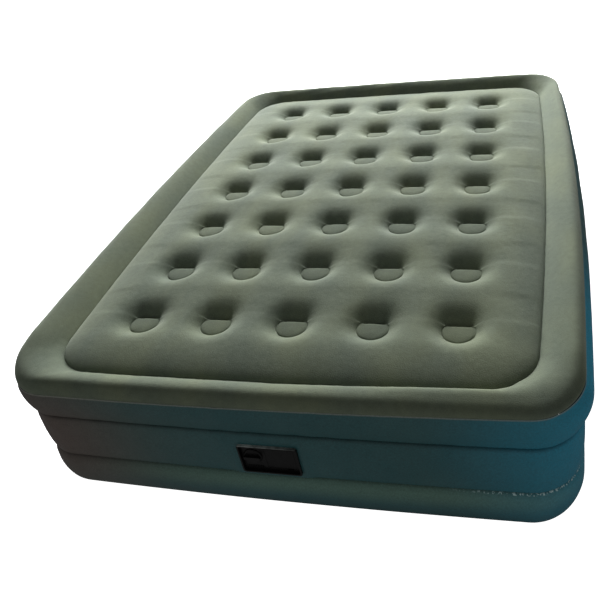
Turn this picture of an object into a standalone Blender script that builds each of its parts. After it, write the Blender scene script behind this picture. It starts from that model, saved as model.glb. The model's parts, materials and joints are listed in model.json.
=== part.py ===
"""A raised queen-size air mattress with an electric pump built into one short end.

Frame: metres, +Z up. The origin is the middle of the footprint at floor level.
+Y runs from the pump end (front) to the far end, and +X is to the right seen from the pump end.
The mattress is an envelope of welded PVC sheets. Straps inside tie the top sheet to the bottom
sheet, and each strap's folded round patch draws a dimple into the sleeping surface.
"""

import bmesh
import bpy
from math import asin, cos, hypot, pi, radians, sin

# Envelope
LENGTH = 2.022
WIDTH = 1.510
HEIGHT = 0.432
CORNER_RADIUS = 0.132
INNER_CORNER_RADIUS = 0.105
LONG_SIDE_BOW = 0.035
SHORT_SIDE_BOW = 0.012
CORNER_STEPS = 6
LONG_SIDE_STEPS = 10
SHORT_SIDE_STEPS = 6
SHEET = 0.0012
GAP = 0.0003

# Heights of the welds and insets from the widest outline
TOP_SEAM_Z = 0.387
MID_SEAM_Z = 0.289
LOW_SEAM_Z = 0.140
GROOVE_INSET = 0.084
GROOVE_Z = 0.392
SIDE_RIM_EXTRA = 0.029
SIDE_RIM_TAPER = 0.013
SHOULDER_INSET = 0.110
PANEL_EDGE_Z = 0.4155
PANEL_CROWN = 0.010
FOOT_INSET = 0.0668

# Profiles of the sheets as (inset, z), from the sleeping panel's edge outwards and down to the floor
RIM_PROFILE = [
    (SHOULDER_INSET, PANEL_EDGE_Z), (0.094, 0.408), (GROOVE_INSET, GROOVE_Z), (0.0790, 0.412),
    (0.0680, 0.424), (0.0480, 0.430), (0.0280, HEIGHT), (0.0130, 0.4275), (0.0045, 0.4150),
    (0.0020, 0.4000), (0.0050, TOP_SEAM_Z + GAP)]
UPPER_BAND_PROFILE = [
    (0.0050, TOP_SEAM_Z - GAP), (0.001, 0.376), (0.001, 0.345), (0.006, 0.318), (0.012, 0.300),
    (0.022, MID_SEAM_Z + GAP)]
MIDDLE_BAND_PROFILE = [
    (0.022, MID_SEAM_Z - GAP), (0.014, 0.272), (0.012, 0.245), (0.012, 0.190), (0.014, 0.162),
    (0.0235, LOW_SEAM_Z + GAP)]
LOWER_BAND_PROFILE = [
    (0.0235, LOW_SEAM_Z - GAP), (0.012, 0.126), (0.007, 0.100), (0.009, 0.070), (0.021, 0.037),
    (0.040, 0.012), (FOOT_INSET, 0.0)]

# Dimples: five across, seven along. Each has a round patch, cut straight at the back, and a pocket behind it
COLUMNS = 5
ROWS = 7
PITCH_X = 0.2147
PITCH_Y = 0.2412
PATCH_RADIUS = 0.0435
PATCH_BACK = 0.020
PATCH_DROP = 0.0265
POCKET_DROP = 0.052
POCKET_SETBACK = 0.032
STRAP_SETBACK = 0.015
STRAP_HALF_WIDTH = 0.034
STRAP_THICKNESS = 0.001
STRAP_CLEARANCE = 0.0012
TIE_PATCH_SHARE = 0.94
PERIMETER_STRAP_CLEARANCE = 0.0035

# Pump: depths are measured from the faceplate's front towards +Y
PUMP_X = -0.010
PUMP_Z = 0.208
FACE_Y = -0.998
WALL_HOLE = (0.1536, 0.0936)
STRAP_HOLE = (0.1500, 0.0900)
COLLAR_OUTER = (0.1530, 0.0930)
COLLAR_INNER = (0.1450, 0.0850)
COLLAR_FRONT = -0.008
COLLAR_BACK = 0.028
FACE_SIZE = (0.1440, 0.0840)
GASKET_OUTER = (0.1444, 0.0844)
GASKET_INNER = (0.1396, 0.0796)
HOUSING_SIZE = (0.1390, 0.0790)
FACE_CORNER = 0.006
FACE_THICKNESS = 0.003
HOUSING_WALL = 0.0025
HOUSING_DEPTH = 0.125
GASKET_DEPTHS = (0.0035, 0.0075)
WALL_HOLE_DEPTHS = (-0.03, 0.03)
STRAP_HOLE_DEPTHS = (0.03, 0.10)
THROUGH_FACE = (-0.02, 0.02)

# Cord compartment and its door, hinged along the top edge
BIN_U = 0.026
BIN_SIZE = (0.078, 0.072)
BIN_WALL = 0.0015
BIN_MOUTH_DEPTH = 0.0066
BIN_DEPTH = 0.046
DOOR_HOLE_HALF_WIDTH = 0.037
DOOR_HOLE_TOP = 0.034
DOOR_HOLE_BOTTOM = -0.033
DOOR_CLEARANCE = 0.0006
DOOR_THICKNESS = 0.0024
DOOR_TOP = 0.0315
HINGE_V = 0.0295
HINGE_DEPTH = 0.003
HINGE_BARREL_RADIUS = 0.0028
HINGE_BORE_RADIUS = 0.0015
HINGE_PIN_RADIUS = 0.0012
HINGE_LUG_SIZE = (0.0036, 0.0080)
HINGE_LUG_DEPTH = 0.0062
NOTCH_HALF_WIDTH = 0.008
NOTCH_U = 0.046
NOTCH_HEIGHT = 0.005
GLAND_U = 0.052
GLAND_V = -0.022
GLAND_HOLE_RADIUS = 0.0045
GLAND_FLANGE_RADIUS = 0.0065
GLAND_FLANGE = 0.004
GLAND_NECK_RADIUS = 0.0042
GLAND_BORE_RADIUS = 0.0030
GLAND_TAIL = 0.006

# Dial, its spindle and the valve behind it
DIAL_U = -0.043
DIAL_V = 0.006
DIAL_HOLE_RADIUS = 0.0240
DIAL_RADIUS = 0.0234
GRILLE_V = -0.030
GRILLE_SIZE = (0.0440, 0.0100)
GRILLE_DEPTHS = (0.0006, 0.0026)
GRILLE_SLOTS = 9
GRILLE_PITCH = 0.0045
GRILLE_SLOT_SIZE = (0.0022, 0.0070)
GRIP_SIZE = (0.0420, 0.0090)
GRIP_HEIGHT = 0.0110
SPINDLE_RADIUS = 0.004
SPINDLE_END = 0.1215
CAM_RADIUS = 0.0065
CAM_DEPTHS = (0.020, 0.024)
CAM_FLAT_HEIGHT = 0.0046
PORT_OFFSET = 0.0135
PORT_RADIUS = 0.0075
GATE_RADIUS = 0.0225
GATE_HUB_RADIUS = 0.0065
GATE_HALF_SWEEP = 58
GATE_DEPTHS = (0.1150, 0.1190)
FLAP_RADIUS = 0.0100
FLAP_THICKNESS = 0.0015

# Microswitch beside the cam
SWITCH_SETBACK = 0.0095
SWITCH_SIZE = (0.010, 0.014)
SWITCH_BACK = 0.026
BUTTON_SIZE = (0.0055, 0.0030)
BUTTON_DEPTHS = (0.0205, 0.0235)
BUTTON_REST_GAP = 0.0005
BUTTON_WELL_CLEARANCE = 0.0004

# Blower
BLOWER_U = 0.028
MOTOR_RADIUS = 0.0185
MOTOR_DEPTHS = (0.0880, 0.1220)
MOTOR_BORE_END = 0.1105
SHAFT_RADIUS = 0.002
SHAFT_DEPTHS = (0.0660, 0.1100)
IMPELLER_RADIUS = 0.030
IMPELLER_VANES = 10
IMPELLER_DEPTHS = (0.0665, 0.0825)
CASING_RADIUS = 0.036
CASING_WALL = 0.002
CASING_DEPTHS = (0.0620, 0.0870)
CASING_EYE_RADIUS = 0.012
CASING_SHAFT_HOLE_RADIUS = 0.004
CASING_OUTLET_SIZE = (0.030, 0.016)
CASING_OUTLET_DEPTHS = (0.0670, 0.0820)
CASING_OUTLET_V = 0.022

ROUND_STEPS = 20
DIAL_STEPS = 28
SHEET_SMOOTH_ANGLE = radians(50)
ROUND_SMOOTH_ANGLE = radians(40)


def clear_scene():
    for old in list(bpy.data.objects):
        bpy.data.objects.remove(old, do_unlink=True)


def material(name, colour, roughness, metallic=0.0):
    finish = bpy.data.materials.new(name)
    finish.use_nodes = True
    shader = finish.node_tree.nodes["Principled BSDF"]
    shader.inputs["Base Color"].default_value = (*colour, 1.0)
    shader.inputs["Roughness"].default_value = roughness
    shader.inputs["Metallic"].default_value = metallic
    return finish


def new_object(name, bm, finish=None, origin=(0, 0, 0), smooth_angle=None):
    """Turn a bmesh in world coordinates into an object whose origin is at the given point."""
    bmesh.ops.translate(bm, verts=bm.verts, vec=[-c for c in origin])
    mesh = bpy.data.meshes.new(name)
    bm.to_mesh(mesh)
    bm.free()
    if smooth_angle is not None:
        mesh.shade_smooth()
        mesh.set_sharp_from_angle(angle=smooth_angle)
    obj = bpy.data.objects.new(name, mesh)
    obj.location = origin
    if finish:
        mesh.materials.append(finish)
    bpy.context.scene.collection.objects.link(obj)
    return obj


def loft(loops, ends="cap"):
    """Skin a row of equal loops. ends: cap closes both ends, join makes a ring, open leaves them."""
    bm = bmesh.new()
    rings = [[bm.verts.new(point) for point in loop] for loop in loops]
    pairs = list(zip(rings, rings[1:]))
    if ends == "join":
        pairs.append((rings[-1], rings[0]))
    for ring, following in pairs:
        count = len(ring)
        for i in range(count):
            j = (i + 1) % count
            bm.faces.new((ring[i], ring[j], following[j], following[i]))
    if ends == "cap":
        bm.faces.new(rings[0])
        bm.faces.new(rings[-1])
    bmesh.ops.recalc_face_normals(bm, faces=bm.faces)
    return bm


def boolean(obj, cutter, operation):
    """Combine an object with a helper solid that stays out of the finished model."""
    cutter.hide_render = True
    cutter.display_type = "WIRE"
    step = obj.modifiers.new(operation.lower(), "BOOLEAN")
    step.operation = operation
    step.solver = "EXACT"
    step.object = cutter


# Outlines of the envelope

def outline(inset, z, squeeze=0.0):
    """The mattress's plan outline at one height: round corners and gently bowed sides.

    A squeeze of 1 draws the long sides in by the extra width that the rim has along them.
    """
    half_x = WIDTH / 2 - inset
    half_y = LENGTH / 2 - inset
    radius = max(CORNER_RADIUS - inset, INNER_CORNER_RADIUS)
    corners = [(1, -1, 270), (1, 1, 0), (-1, 1, 90), (-1, -1, 180)]
    steps_after = [LONG_SIDE_STEPS, SHORT_SIDE_STEPS, LONG_SIDE_STEPS, SHORT_SIDE_STEPS]
    arcs = []
    for side_x, side_y, start in corners:
        centre = (side_x * (half_x - radius), side_y * (half_y - radius))
        angles = [radians(start + 90 * k / CORNER_STEPS) for k in range(CORNER_STEPS + 1)]
        arcs.append([(centre[0] + radius * cos(a), centre[1] + radius * sin(a)) for a in angles])
    points = []
    for index, arc in enumerate(arcs):
        points += arc
        end, start = arc[-1], arcs[(index + 1) % 4][0]
        for k in range(1, steps_after[index]):
            t = k / steps_after[index]
            points.append((end[0] + (start[0] - end[0]) * t, end[1] + (start[1] - end[1]) * t))
    return [bowed(x, y, z, squeeze) for x, y in points]


def bowed(x, y, z, squeeze):
    """Draw the ends of each side in, so that the middle of the side stands proud."""
    draw_x = 1 - LONG_SIDE_BOW / (WIDTH / 2) * (y / (LENGTH / 2)) ** 2
    draw_y = 1 - SHORT_SIDE_BOW / (LENGTH / 2) * (x / (WIDTH / 2)) ** 2
    draw_x *= 1 - squeeze * (SIDE_RIM_EXTRA - SIDE_RIM_TAPER * y) / (WIDTH / 2)
    return (x * draw_x, y * draw_y, z)


def panel_height(x, y):
    """Height of the sleeping surface between its dimples."""
    half_x = WIDTH / 2 - SHOULDER_INSET - SIDE_RIM_EXTRA
    half_y = LENGTH / 2 - SHOULDER_INSET
    rise = max(0.0, 1 - (x / half_x) ** 2) * max(0.0, 1 - (y / half_y) ** 2)
    return PANEL_EDGE_Z + PANEL_CROWN * rise


def dimple_centres():
    for row in range(ROWS):
        for column in range(COLUMNS):
            x = (column - (COLUMNS - 1) / 2) * PITCH_X
            y = (row - (ROWS - 1) / 2) * PITCH_Y
            yield row, column, x, y


def thicken(obj):
    """Give a sheet its thickness, inwards from its outer face."""
    step = obj.modifiers.new("sheet thickness", "SOLIDIFY")
    step.thickness = SHEET
    step.offset = -1
    step.use_even_offset = True


def sheet_band(name, profile, finish):
    """A side sheet that runs round the mattress. Its profile holds (inset, z), top to bottom."""
    bm = loft([outline(inset, z) for inset, z in profile], ends="open")
    obj = new_object(name, bm, finish, smooth_angle=SHEET_SMOOTH_ANGLE)
    thicken(obj)
    return obj


def make_top_sheet(finish):
    """The flocked top: dimpled panel, groove, raised rim, and the wrap down to the top seam."""
    bm = bmesh.new()
    offsets_x = (-PATCH_RADIUS, 0.0, PATCH_RADIUS, PITCH_X / 2)
    offsets_y = (-PATCH_RADIUS, PATCH_BACK, POCKET_SETBACK)
    drop_rows = (PATCH_DROP, PATCH_DROP, POCKET_DROP)
    lines_x = [(-COLUMNS * PITCH_X / 2, None)]
    for column in range(COLUMNS):
        centre = (column - (COLUMNS - 1) / 2) * PITCH_X
        lines_x += [(centre + offset, centre if offset < PITCH_X / 2 else None) for offset in offsets_x]
    lines_y = [(-ROWS * PITCH_Y / 2, None, 0.0)]
    for row in range(ROWS):
        centre = (row - (ROWS - 1) / 2) * PITCH_Y
        lines_y += [(centre + offset, centre, drop) for offset, drop in zip(offsets_y, drop_rows)]
        lines_y.append((centre + PITCH_Y / 2, None, 0.0))
    grid = []
    for y, dimple_y, drop in lines_y:
        line = []
        for x, dimple_x in lines_x:
            z = panel_height(x, y)
            if dimple_x is not None and dimple_y is not None:
                z = panel_height(dimple_x, dimple_y) - drop
            line.append(bm.verts.new((x, y, z)))
        grid.append(line)
    for near, far in zip(grid, grid[1:]):
        for i in range(len(near) - 1):
            bm.faces.new((near[i], near[i + 1], far[i + 1], far[i]))
    panel_edge = [edge for edge in bm.edges if edge.is_boundary]

    rings = [[bm.verts.new(point) for point in outline(inset, z, min(inset / GROOVE_INSET, 1))]
             for inset, z in RIM_PROFILE]
    for ring, following in zip(rings, rings[1:]):
        for i in range(len(ring)):
            j = (i + 1) % len(ring)
            bm.faces.new((ring[i], ring[j], following[j], following[i]))
    shoulder = set(rings[0])
    shoulder_edge = [edge for edge in bm.edges if edge.is_boundary and set(edge.verts) <= shoulder]
    bmesh.ops.bridge_loops(bm, edges=panel_edge + shoulder_edge)
    bmesh.ops.recalc_face_normals(bm, faces=bm.faces)
    bm.faces.ensure_lookup_table()
    if bm.faces[0].normal.z < 0:
        bmesh.ops.reverse_faces(bm, faces=bm.faces)
    thicken(new_object("top_sheet", bm, finish, smooth_angle=SHEET_SMOOTH_ANGLE))


def make_side_sheets(finish):
    sheet_band("upper_side_band", UPPER_BAND_PROFILE, finish)
    middle = sheet_band("middle_side_band", MIDDLE_BAND_PROFILE, finish)
    hole = pump_block("pump_wall_hole", WALL_HOLE, FACE_CORNER + 0.0008, *WALL_HOLE_DEPTHS)
    boolean(middle, hole, "DIFFERENCE")
    sheet_band("lower_side_band", LOWER_BAND_PROFILE, finish)


def make_bottom_sheet(finish):
    inset = FOOT_INSET + SHEET
    new_object("bottom_sheet", loft([outline(inset, 0.0), outline(inset, SHEET)]), finish)


def make_perimeter_strap(finish):
    """The upright sheet that ties the groove down and parts the rim's air tube from the panel."""
    top = GROOVE_Z - PERIMETER_STRAP_CLEARANCE
    bottom = SHEET + GAP
    outer, inner = GROOVE_INSET, GROOVE_INSET + STRAP_THICKNESS
    corners = ((outer, bottom), (outer, top), (inner, top), (inner, bottom))
    loops = [outline(inset, z, 1) for inset, z in corners]
    strap = new_object("perimeter_strap", loft(loops, ends="join"), finish)
    hole = pump_block("pump_strap_hole", STRAP_HOLE, FACE_CORNER, *STRAP_HOLE_DEPTHS)
    boolean(strap, hole, "DIFFERENCE")


def make_coil_ties(finish):
    """One strap under each dimple: a folded round patch on top, an upright strap and a foot patch."""
    foot_z = SHEET + GAP + STRAP_THICKNESS
    back = asin(PATCH_BACK / PATCH_RADIUS)
    steps = [radians(15 * k) for k in range(1, 6)]
    for row, column, x, y in dimple_centres():
        top = panel_height(x, y) - SHEET - STRAP_CLEARANCE
        patch = top - PATCH_DROP
        edge = PATCH_RADIUS * TIE_PATCH_SHARE
        stations = [(-edge * cos(a), patch, edge * sin(a)) for a in steps]
        stations += [(0.0, patch, edge), (STRAP_SETBACK, patch, edge * cos(back))]
        stations.append((STRAP_SETBACK, foot_z, STRAP_HALF_WIDTH))
        stations += [(STRAP_SETBACK - STRAP_HALF_WIDTH * cos(a), foot_z, STRAP_HALF_WIDTH * sin(a))
                     for a in reversed(steps)]
        new_object(f"coil_tie_r{row + 1}_c{column + 1}", ribbon(stations, x, y), finish)


def ribbon(stations, x, y):
    """A strap of constant thickness through (forward, height, half width) stations at (x, y)."""
    loops = []
    for index, (along, height, half_width) in enumerate(stations):
        before = stations[max(index - 1, 0)]
        after = stations[min(index + 1, len(stations) - 1)]
        run, rise = after[0] - before[0], after[1] - before[1]
        size = hypot(run, rise)
        shift_y = rise / size * STRAP_THICKNESS
        shift_z = -run / size * STRAP_THICKNESS
        loops.append([
            (x - half_width, y + along, height), (x + half_width, y + along, height),
            (x + half_width, y + along + shift_y, height + shift_z),
            (x - half_width, y + along + shift_y, height + shift_z)])
    return loft(loops)


# Pump pieces: u runs along X and v along Z from the middle of the faceplate

def world(u, v, depth):
    return (PUMP_X + u, FACE_Y + depth, PUMP_Z + v)


def rounded_rectangle(size, radius, depth, u=0.0, v=0.0, steps=3):
    half_u, half_v = size[0] / 2 - radius, size[1] / 2 - radius
    points = []
    for side_u, side_v, start in ((1, 1, 0), (-1, 1, 90), (-1, -1, 180), (1, -1, 270)):
        for k in range(steps + 1):
            a = radians(start + 90 * k / steps)
            points.append(world(u + side_u * half_u + radius * cos(a),
                                v + side_v * half_v + radius * sin(a), depth))
    return points


def circle(radius, depth, u=0.0, v=0.0, steps=ROUND_STEPS):
    angles = [2 * pi * k / steps for k in range(steps)]
    return [world(u + radius * cos(a), v + radius * sin(a), depth) for a in angles]


def pump_block(name, size, radius, near, far, finish=None, u=0.0, v=0.0, steps=3):
    """A block with rounded corners between two depths."""
    loops = [rounded_rectangle(size, radius, depth, u, v, steps) for depth in (near, far)]
    return new_object(name, loft(loops), finish)


def pump_cylinder(name, radius, near, far, finish=None, u=0.0, v=0.0, steps=ROUND_STEPS):
    loops = [circle(radius, depth, u, v, steps) for depth in (near, far)]
    return new_object(name, loft(loops), finish, smooth_angle=ROUND_SMOOTH_ANGLE)


def pump_frame(name, outer, inner, near, far, finish):
    """A rectangular ring between two depths."""
    loops = [rounded_rectangle(outer, FACE_CORNER + 0.0005, near),
             rounded_rectangle(outer, FACE_CORNER + 0.0005, far),
             rounded_rectangle(inner, FACE_CORNER - 0.001, far),
             rounded_rectangle(inner, FACE_CORNER - 0.001, near)]
    return new_object(name, loft(loops, ends="join"), finish)


def pump_tray(name, size, radius, wall, near, far, finish, u=0.0):
    """A box that is open towards the front."""
    inner = (size[0] - 2 * wall, size[1] - 2 * wall)
    loops = [rounded_rectangle(size, radius, far, u), rounded_rectangle(size, radius, near, u),
             rounded_rectangle(inner, radius - wall / 2, near, u),
             rounded_rectangle(inner, radius - wall / 2, far - wall, u)]
    return new_object(name, loft(loops), finish)


def rod_along_x(name, radius, half_length, finish=None, steps=12):
    """A rod on the door's hinge axis."""
    loops = []
    for end in (-half_length, half_length):
        angles = [2 * pi * k / steps for k in range(steps)]
        loops.append([world(BIN_U + end, HINGE_V + radius * sin(a), HINGE_DEPTH + radius * cos(a))
                      for a in angles])
    return new_object(name, loft(loops), finish, smooth_angle=ROUND_SMOOTH_ANGLE)


def make_pump_case(plastic, rubber):
    pump_frame("pump_collar", COLLAR_OUTER, COLLAR_INNER, COLLAR_FRONT, COLLAR_BACK, plastic)
    pump_frame("pump_gasket", GASKET_OUTER, GASKET_INNER, *GASKET_DEPTHS, rubber)
    housing = pump_tray("pump_housing", HOUSING_SIZE, FACE_CORNER - 0.001, HOUSING_WALL,
                        FACE_THICKNESS + GAP, HOUSING_DEPTH, plastic)
    port = pump_cylinder("outlet_port_hole", PORT_RADIUS, HOUSING_DEPTH - 0.01, HOUSING_DEPTH + 0.01,
                         u=DIAL_U, v=DIAL_V - PORT_OFFSET)
    boolean(housing, port, "DIFFERENCE")


def make_faceplate(plastic):
    face = pump_block("pump_faceplate", FACE_SIZE, FACE_CORNER, 0.0, FACE_THICKNESS, plastic, steps=4)
    door_size = (2 * DOOR_HOLE_HALF_WIDTH, DOOR_HOLE_TOP - DOOR_HOLE_BOTTOM)
    door_v = (DOOR_HOLE_TOP + DOOR_HOLE_BOTTOM) / 2
    for side in (-1, 1):
        lug = pump_block(f"hinge_lug_{side + 2}", HINGE_LUG_SIZE, 0.0004, FACE_THICKNESS / 2, HINGE_LUG_DEPTH,
                         u=BIN_U + side * (DOOR_HOLE_HALF_WIDTH + 0.0020), v=HINGE_V, steps=1)
        boolean(face, lug, "UNION")
    boolean(face, pump_block("door_hole", door_size, 0.002, *THROUGH_FACE, u=BIN_U, v=door_v), "DIFFERENCE")
    boolean(face, pump_block("finger_notch", (2 * NOTCH_HALF_WIDTH, 2 * NOTCH_HEIGHT), 0.002, *THROUGH_FACE,
                             u=NOTCH_U, v=DOOR_HOLE_BOTTOM), "DIFFERENCE")
    boolean(face, pump_cylinder("dial_hole", DIAL_HOLE_RADIUS, *THROUGH_FACE, u=DIAL_U, v=DIAL_V,
                                steps=DIAL_STEPS),
            "DIFFERENCE")
    window_size = (GRILLE_SIZE[0] + 2 * GAP, GRILLE_SIZE[1] + 2 * GAP)
    window = pump_block("grille_window", window_size, 0.002, *THROUGH_FACE, u=DIAL_U, v=GRILLE_V)
    boolean(face, window, "DIFFERENCE")
    bore = rod_along_x("hinge_pin_bore", HINGE_BORE_RADIUS, DOOR_HOLE_HALF_WIDTH + 0.0028)
    boolean(face, bore, "DIFFERENCE")


def make_intake_grille(plastic):
    grille = pump_block("intake_grille", GRILLE_SIZE, 0.0017, *GRILLE_DEPTHS, plastic, u=DIAL_U, v=GRILLE_V)
    for k in range(GRILLE_SLOTS):
        u = DIAL_U + (k - (GRILLE_SLOTS - 1) / 2) * GRILLE_PITCH
        slot = pump_block(f"grille_slot_{k + 1}", GRILLE_SLOT_SIZE, 0.0008, *THROUGH_FACE, u=u, v=GRILLE_V,
                          steps=1)
        boolean(grille, slot, "DIFFERENCE")


def make_cord_compartment(plastic, rubber, steel):
    back = BIN_DEPTH - BIN_WALL
    tray = pump_tray("cord_bin", BIN_SIZE, 0.004, BIN_WALL, BIN_MOUTH_DEPTH, BIN_DEPTH, plastic, u=BIN_U)
    boolean(tray, pump_cylinder("gland_hole", GLAND_HOLE_RADIUS, back - 0.01, BIN_DEPTH + 0.01, u=GLAND_U,
                                v=GLAND_V), "DIFFERENCE")
    profile = [(GLAND_BORE_RADIUS, back - GLAND_FLANGE), (GLAND_FLANGE_RADIUS, back - GLAND_FLANGE),
               (GLAND_FLANGE_RADIUS, back - GAP), (GLAND_NECK_RADIUS, back - GAP),
               (GLAND_NECK_RADIUS, BIN_DEPTH + GLAND_TAIL), (GLAND_BORE_RADIUS, BIN_DEPTH + GLAND_TAIL)]
    loops = [circle(radius, depth, GLAND_U, GLAND_V, steps=16) for radius, depth in profile]
    new_object("cord_gland", loft(loops, ends="join"), rubber, smooth_angle=ROUND_SMOOTH_ANGLE)
    rod_along_x("door_hinge_pin", HINGE_PIN_RADIUS, DOOR_HOLE_HALF_WIDTH + 0.0024, steel)


def make_storage_door(plastic):
    """The door's origin is on its hinge axis."""
    half_width = DOOR_HOLE_HALF_WIDTH - DOOR_CLEARANCE
    bottom = DOOR_HOLE_BOTTOM + DOOR_CLEARANCE
    size = (2 * half_width, DOOR_TOP - bottom)
    loops = [rounded_rectangle(size, 0.0016, depth, BIN_U, (DOOR_TOP + bottom) / 2)
             for depth in (GAP, GAP + DOOR_THICKNESS)]
    door = new_object("storage_door", loft(loops), plastic, origin=world(BIN_U, HINGE_V, HINGE_DEPTH))
    boolean(door, rod_along_x("door_barrel", HINGE_BARREL_RADIUS, DOOR_HOLE_HALF_WIDTH - 0.002, steps=16),
            "UNION")
    boolean(door, rod_along_x("door_bore", HINGE_BORE_RADIUS, DOOR_HOLE_HALF_WIDTH + 0.01), "DIFFERENCE")


def make_dial(plastic, light_plastic):
    """Knob, spindle with its switch cam, and the valve gate, all with origins on the dial's axis."""
    axis = world(DIAL_U, DIAL_V, 0.0)
    profile = [(DIAL_RADIUS, 0.003), (DIAL_RADIUS, -0.002), (DIAL_RADIUS - 0.0025, -0.0040)]
    loops = [circle(radius, depth, DIAL_U, DIAL_V, DIAL_STEPS) for radius, depth in profile]
    knob = new_object("dial_knob", loft(loops), plastic, axis, radians(30))
    grip = pump_block("dial_grip", GRIP_SIZE, 0.003, -GRIP_HEIGHT, 0.001, u=DIAL_U, v=DIAL_V)
    boolean(knob, grip, "UNION")

    cam_near, cam_far = CAM_DEPTHS
    profile = [(SPINDLE_RADIUS, FACE_THICKNESS + GAP), (SPINDLE_RADIUS, cam_near), (CAM_RADIUS, cam_near),
               (CAM_RADIUS, cam_far), (SPINDLE_RADIUS, cam_far), (SPINDLE_RADIUS, SPINDLE_END)]
    loops = [circle(radius, depth, DIAL_U, DIAL_V, 16) for radius, depth in profile]
    spindle = new_object("dial_spindle", loft(loops), light_plastic, axis, ROUND_SMOOTH_ANGLE)
    cut_height = 2 * CAM_RADIUS
    flat = pump_block("cam_flat", (4 * CAM_RADIUS, cut_height), 0.001, cam_near - 0.0005, cam_far + 0.0005,
                      u=DIAL_U, v=DIAL_V + CAM_FLAT_HEIGHT + cut_height / 2, steps=1)
    boolean(spindle, flat, "DIFFERENCE")

    near, far = GATE_DEPTHS
    arc_steps = 10
    sweep = [radians(-90 + GATE_HALF_SWEEP * (2 * k / arc_steps - 1)) for k in range(arc_steps + 1)]
    rest = 360 - 2 * GATE_HALF_SWEEP
    hub_arc = [radians(-90 + GATE_HALF_SWEEP + rest * k / arc_steps) for k in range(1, arc_steps)]
    outer = [(GATE_RADIUS * cos(a), GATE_RADIUS * sin(a)) for a in sweep]
    outer += [(GATE_HUB_RADIUS * cos(a), GATE_HUB_RADIUS * sin(a)) for a in hub_arc]
    loops = [[world(DIAL_U + du, DIAL_V + dv, depth) for du, dv in outer] for depth in (near, far)]
    gate = new_object("valve_gate", loft(loops), light_plastic, axis)
    boolean(gate, pump_cylinder("gate_bore", SPINDLE_RADIUS + GAP, near - 0.01, far + 0.01, u=DIAL_U,
                                v=DIAL_V, steps=16), "DIFFERENCE")


def make_switch(plastic, light_plastic):
    """A microswitch on the faceplate's back, and the button that the dial's cam presses."""
    left = DIAL_U + SWITCH_SETBACK
    near, far = BUTTON_DEPTHS
    switch = pump_block("micro_switch", SWITCH_SIZE, 0.0006, FACE_THICKNESS + GAP, SWITCH_BACK, plastic,
                        u=left + SWITCH_SIZE[0] / 2, v=DIAL_V, steps=1)
    well_size = (SWITCH_SIZE[0], BUTTON_SIZE[1] + 2 * BUTTON_WELL_CLEARANCE)
    boolean(switch, pump_block("button_well", well_size, 0.0002, near - BUTTON_WELL_CLEARANCE,
                               far + BUTTON_WELL_CLEARANCE, u=left, v=DIAL_V, steps=1), "DIFFERENCE")
    tip = DIAL_U + CAM_RADIUS + BUTTON_REST_GAP
    loops = [rounded_rectangle(BUTTON_SIZE, 0.0003, depth, tip + BUTTON_SIZE[0] / 2, DIAL_V, 1)
             for depth in (near, far)]
    new_object("switch_button", loft(loops), light_plastic, origin=world(tip, DIAL_V, (near + far) / 2))


def make_blower(metal, plastic, steel):
    bore = SHAFT_RADIUS + GAP
    motor = pump_cylinder("motor_can", MOTOR_RADIUS, *MOTOR_DEPTHS, metal, u=BLOWER_U)
    boolean(motor, pump_cylinder("motor_bore", bore, MOTOR_DEPTHS[0] - 0.01, MOTOR_BORE_END, u=BLOWER_U,
                                 steps=12), "DIFFERENCE")
    axis = world(BLOWER_U, 0.0, 0.0)
    shaft = [circle(SHAFT_RADIUS, depth, BLOWER_U, 0.0, 12) for depth in SHAFT_DEPTHS]
    new_object("motor_shaft", loft(shaft), steel, axis, ROUND_SMOOTH_ANGLE)

    count = IMPELLER_VANES * 4
    outline_radii = [IMPELLER_RADIUS if k % 4 < 2 else IMPELLER_RADIUS * 0.5 for k in range(count)]

    def star(depth):
        return [world(BLOWER_U + r * cos(2 * pi * k / count), r * sin(2 * pi * k / count), depth)
                for k, r in enumerate(outline_radii)]

    near, far = IMPELLER_DEPTHS
    loops = [star(near), star(far), circle(bore, far, BLOWER_U, 0.0, count),
             circle(bore, near, BLOWER_U, 0.0, count)]
    new_object("impeller", loft(loops, ends="join"), plastic, axis)

    near, far = CASING_DEPTHS
    eye, hole, drum = CASING_EYE_RADIUS, CASING_SHAFT_HOLE_RADIUS, CASING_RADIUS - CASING_WALL
    profile = [(eye, near), (CASING_RADIUS, near), (CASING_RADIUS, far), (hole, far),
               (hole, far - CASING_WALL), (drum, far - CASING_WALL), (drum, near + CASING_WALL),
               (eye, near + CASING_WALL)]
    loops = [circle(radius, depth, BLOWER_U, 0.0) for radius, depth in profile]
    casing = new_object("impeller_casing", loft(loops, ends="join"), plastic, smooth_angle=ROUND_SMOOTH_ANGLE)
    window = pump_block("casing_outlet", CASING_OUTLET_SIZE, 0.002, *CASING_OUTLET_DEPTHS,
                        u=BLOWER_U - CASING_RADIUS, v=CASING_OUTLET_V)
    boolean(casing, window, "DIFFERENCE")


def make_outlet_flap(rubber):
    """A rubber check valve behind the outlet port. It swings about its own upper edge."""
    centre_v = DIAL_V - PORT_OFFSET
    near = HOUSING_DEPTH + GAP
    hinge_v = centre_v + FLAP_RADIUS
    loops = [circle(FLAP_RADIUS, depth, DIAL_U, centre_v, 16) for depth in (near, near + FLAP_THICKNESS)]
    new_object("outlet_flap", loft(loops), rubber, world(DIAL_U, hinge_v, near), ROUND_SMOOTH_ANGLE)


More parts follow.
